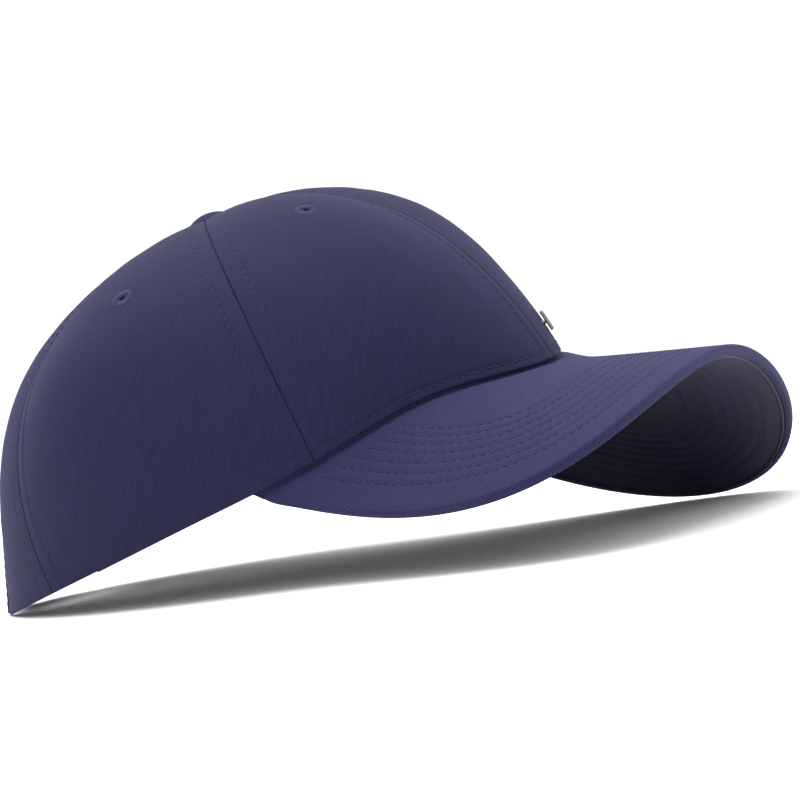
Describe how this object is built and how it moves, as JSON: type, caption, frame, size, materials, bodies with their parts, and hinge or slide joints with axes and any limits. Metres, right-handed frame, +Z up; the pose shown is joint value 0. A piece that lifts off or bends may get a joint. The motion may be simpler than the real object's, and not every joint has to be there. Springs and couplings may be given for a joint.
{
  "type": "baseball cap",
  "caption": "Soft six-panel baseball cap with a curved stitched visor, cloth-covered button, eyelets and a hook-and-loop strap across the back opening.",
  "frame": {"origin": "centre of the bounding box in plan, at the lowest point, where the cap stands on its rear hem and visor edge", "axes": "+Z up as the cap stands, visor towards -Y, the wearer's right at -X"},
  "size_m": [0.194, 0.254, 0.1206],
  "materials": {
    "crown_twill": "matte cotton twill, navy",
    "visor_twill": "matte cotton twill, navy",
    "strap_twill": "matte cotton twill, navy",
    "buckram": "stiff open-weave buckram, off-white",
    "seam_tape": "woven tape, navy",
    "lining": "non-woven lining, dark grey",
    "sweatband_cloth": "matte cotton, navy",
    "label_cloth": "woven satin label, blank",
    "visor_plastic": "natural polyethylene board",
    "embroidery_thread": "satin stitch thread, navy",
    "button_metal": "pressed, satin",
    "badge_metal": "polished and lightly brushed",
    "hook_fastener": "nylon hook tape, navy",
    "loop_fastener": "brushed nylon loop tape, navy"
  },
  "bodies": {
    "cap": {"arch_binding": "seam_tape", "badge": "badge_metal", "badge_backing": "button_metal", "badge_prongs": "button_metal", "buckram_left": "buckram", "buckram_right": "buckram", "button_cover": "crown_twill", "button_dome": "button_metal", "button_rivet": "button_metal", "button_washer": "button_metal", "care_label": "label_cloth", "forehead_lining": "lining", "front_eyelet_left": "embroidery_thread", "front_eyelet_right": "embroidery_thread", "front_panel_left": "crown_twill", "front_panel_right": "crown_twill", "front_seam_tape": "seam_tape", "front_side_tape_left": "seam_tape", "front_side_tape_right": "seam_tape", "hook_strap_root": "strap_twill", "loop_patch": "loop_fastener", "loop_strap": "strap_twill", "rear_eyelet_left": "embroidery_thread", "rear_eyelet_right": "embroidery_thread", "rear_panel_left": "crown_twill", "rear_panel_right": "crown_twill", "rear_seam_tape": "seam_tape", "rear_side_tape_left": "seam_tape", "rear_side_tape_right": "seam_tape", "side_eyelet_left": "embroidery_thread", "side_eyelet_right": "embroidery_thread", "side_panel_left": "crown_twill", "side_panel_right": "crown_twill", "size_label": "label_cloth", "sweatband": "sweatband_cloth", "visor_board": "visor_plastic", "visor_top_cover": "visor_twill", "visor_under_cover": "visor_twill"},
    "strap_flap": {"hook_strap": "strap_twill", "hook_patch": "hook_fastener"}
  },
  "joints": [
    {"name": "strap_peel", "type": "hinge", "parent": "cap", "child": "strap_flap", "pos_m": [0.02608, 0.11739, 0.00773], "axis": [0.2, 0.15, -0.9683], "range_deg": [0, 110]}
  ]
}
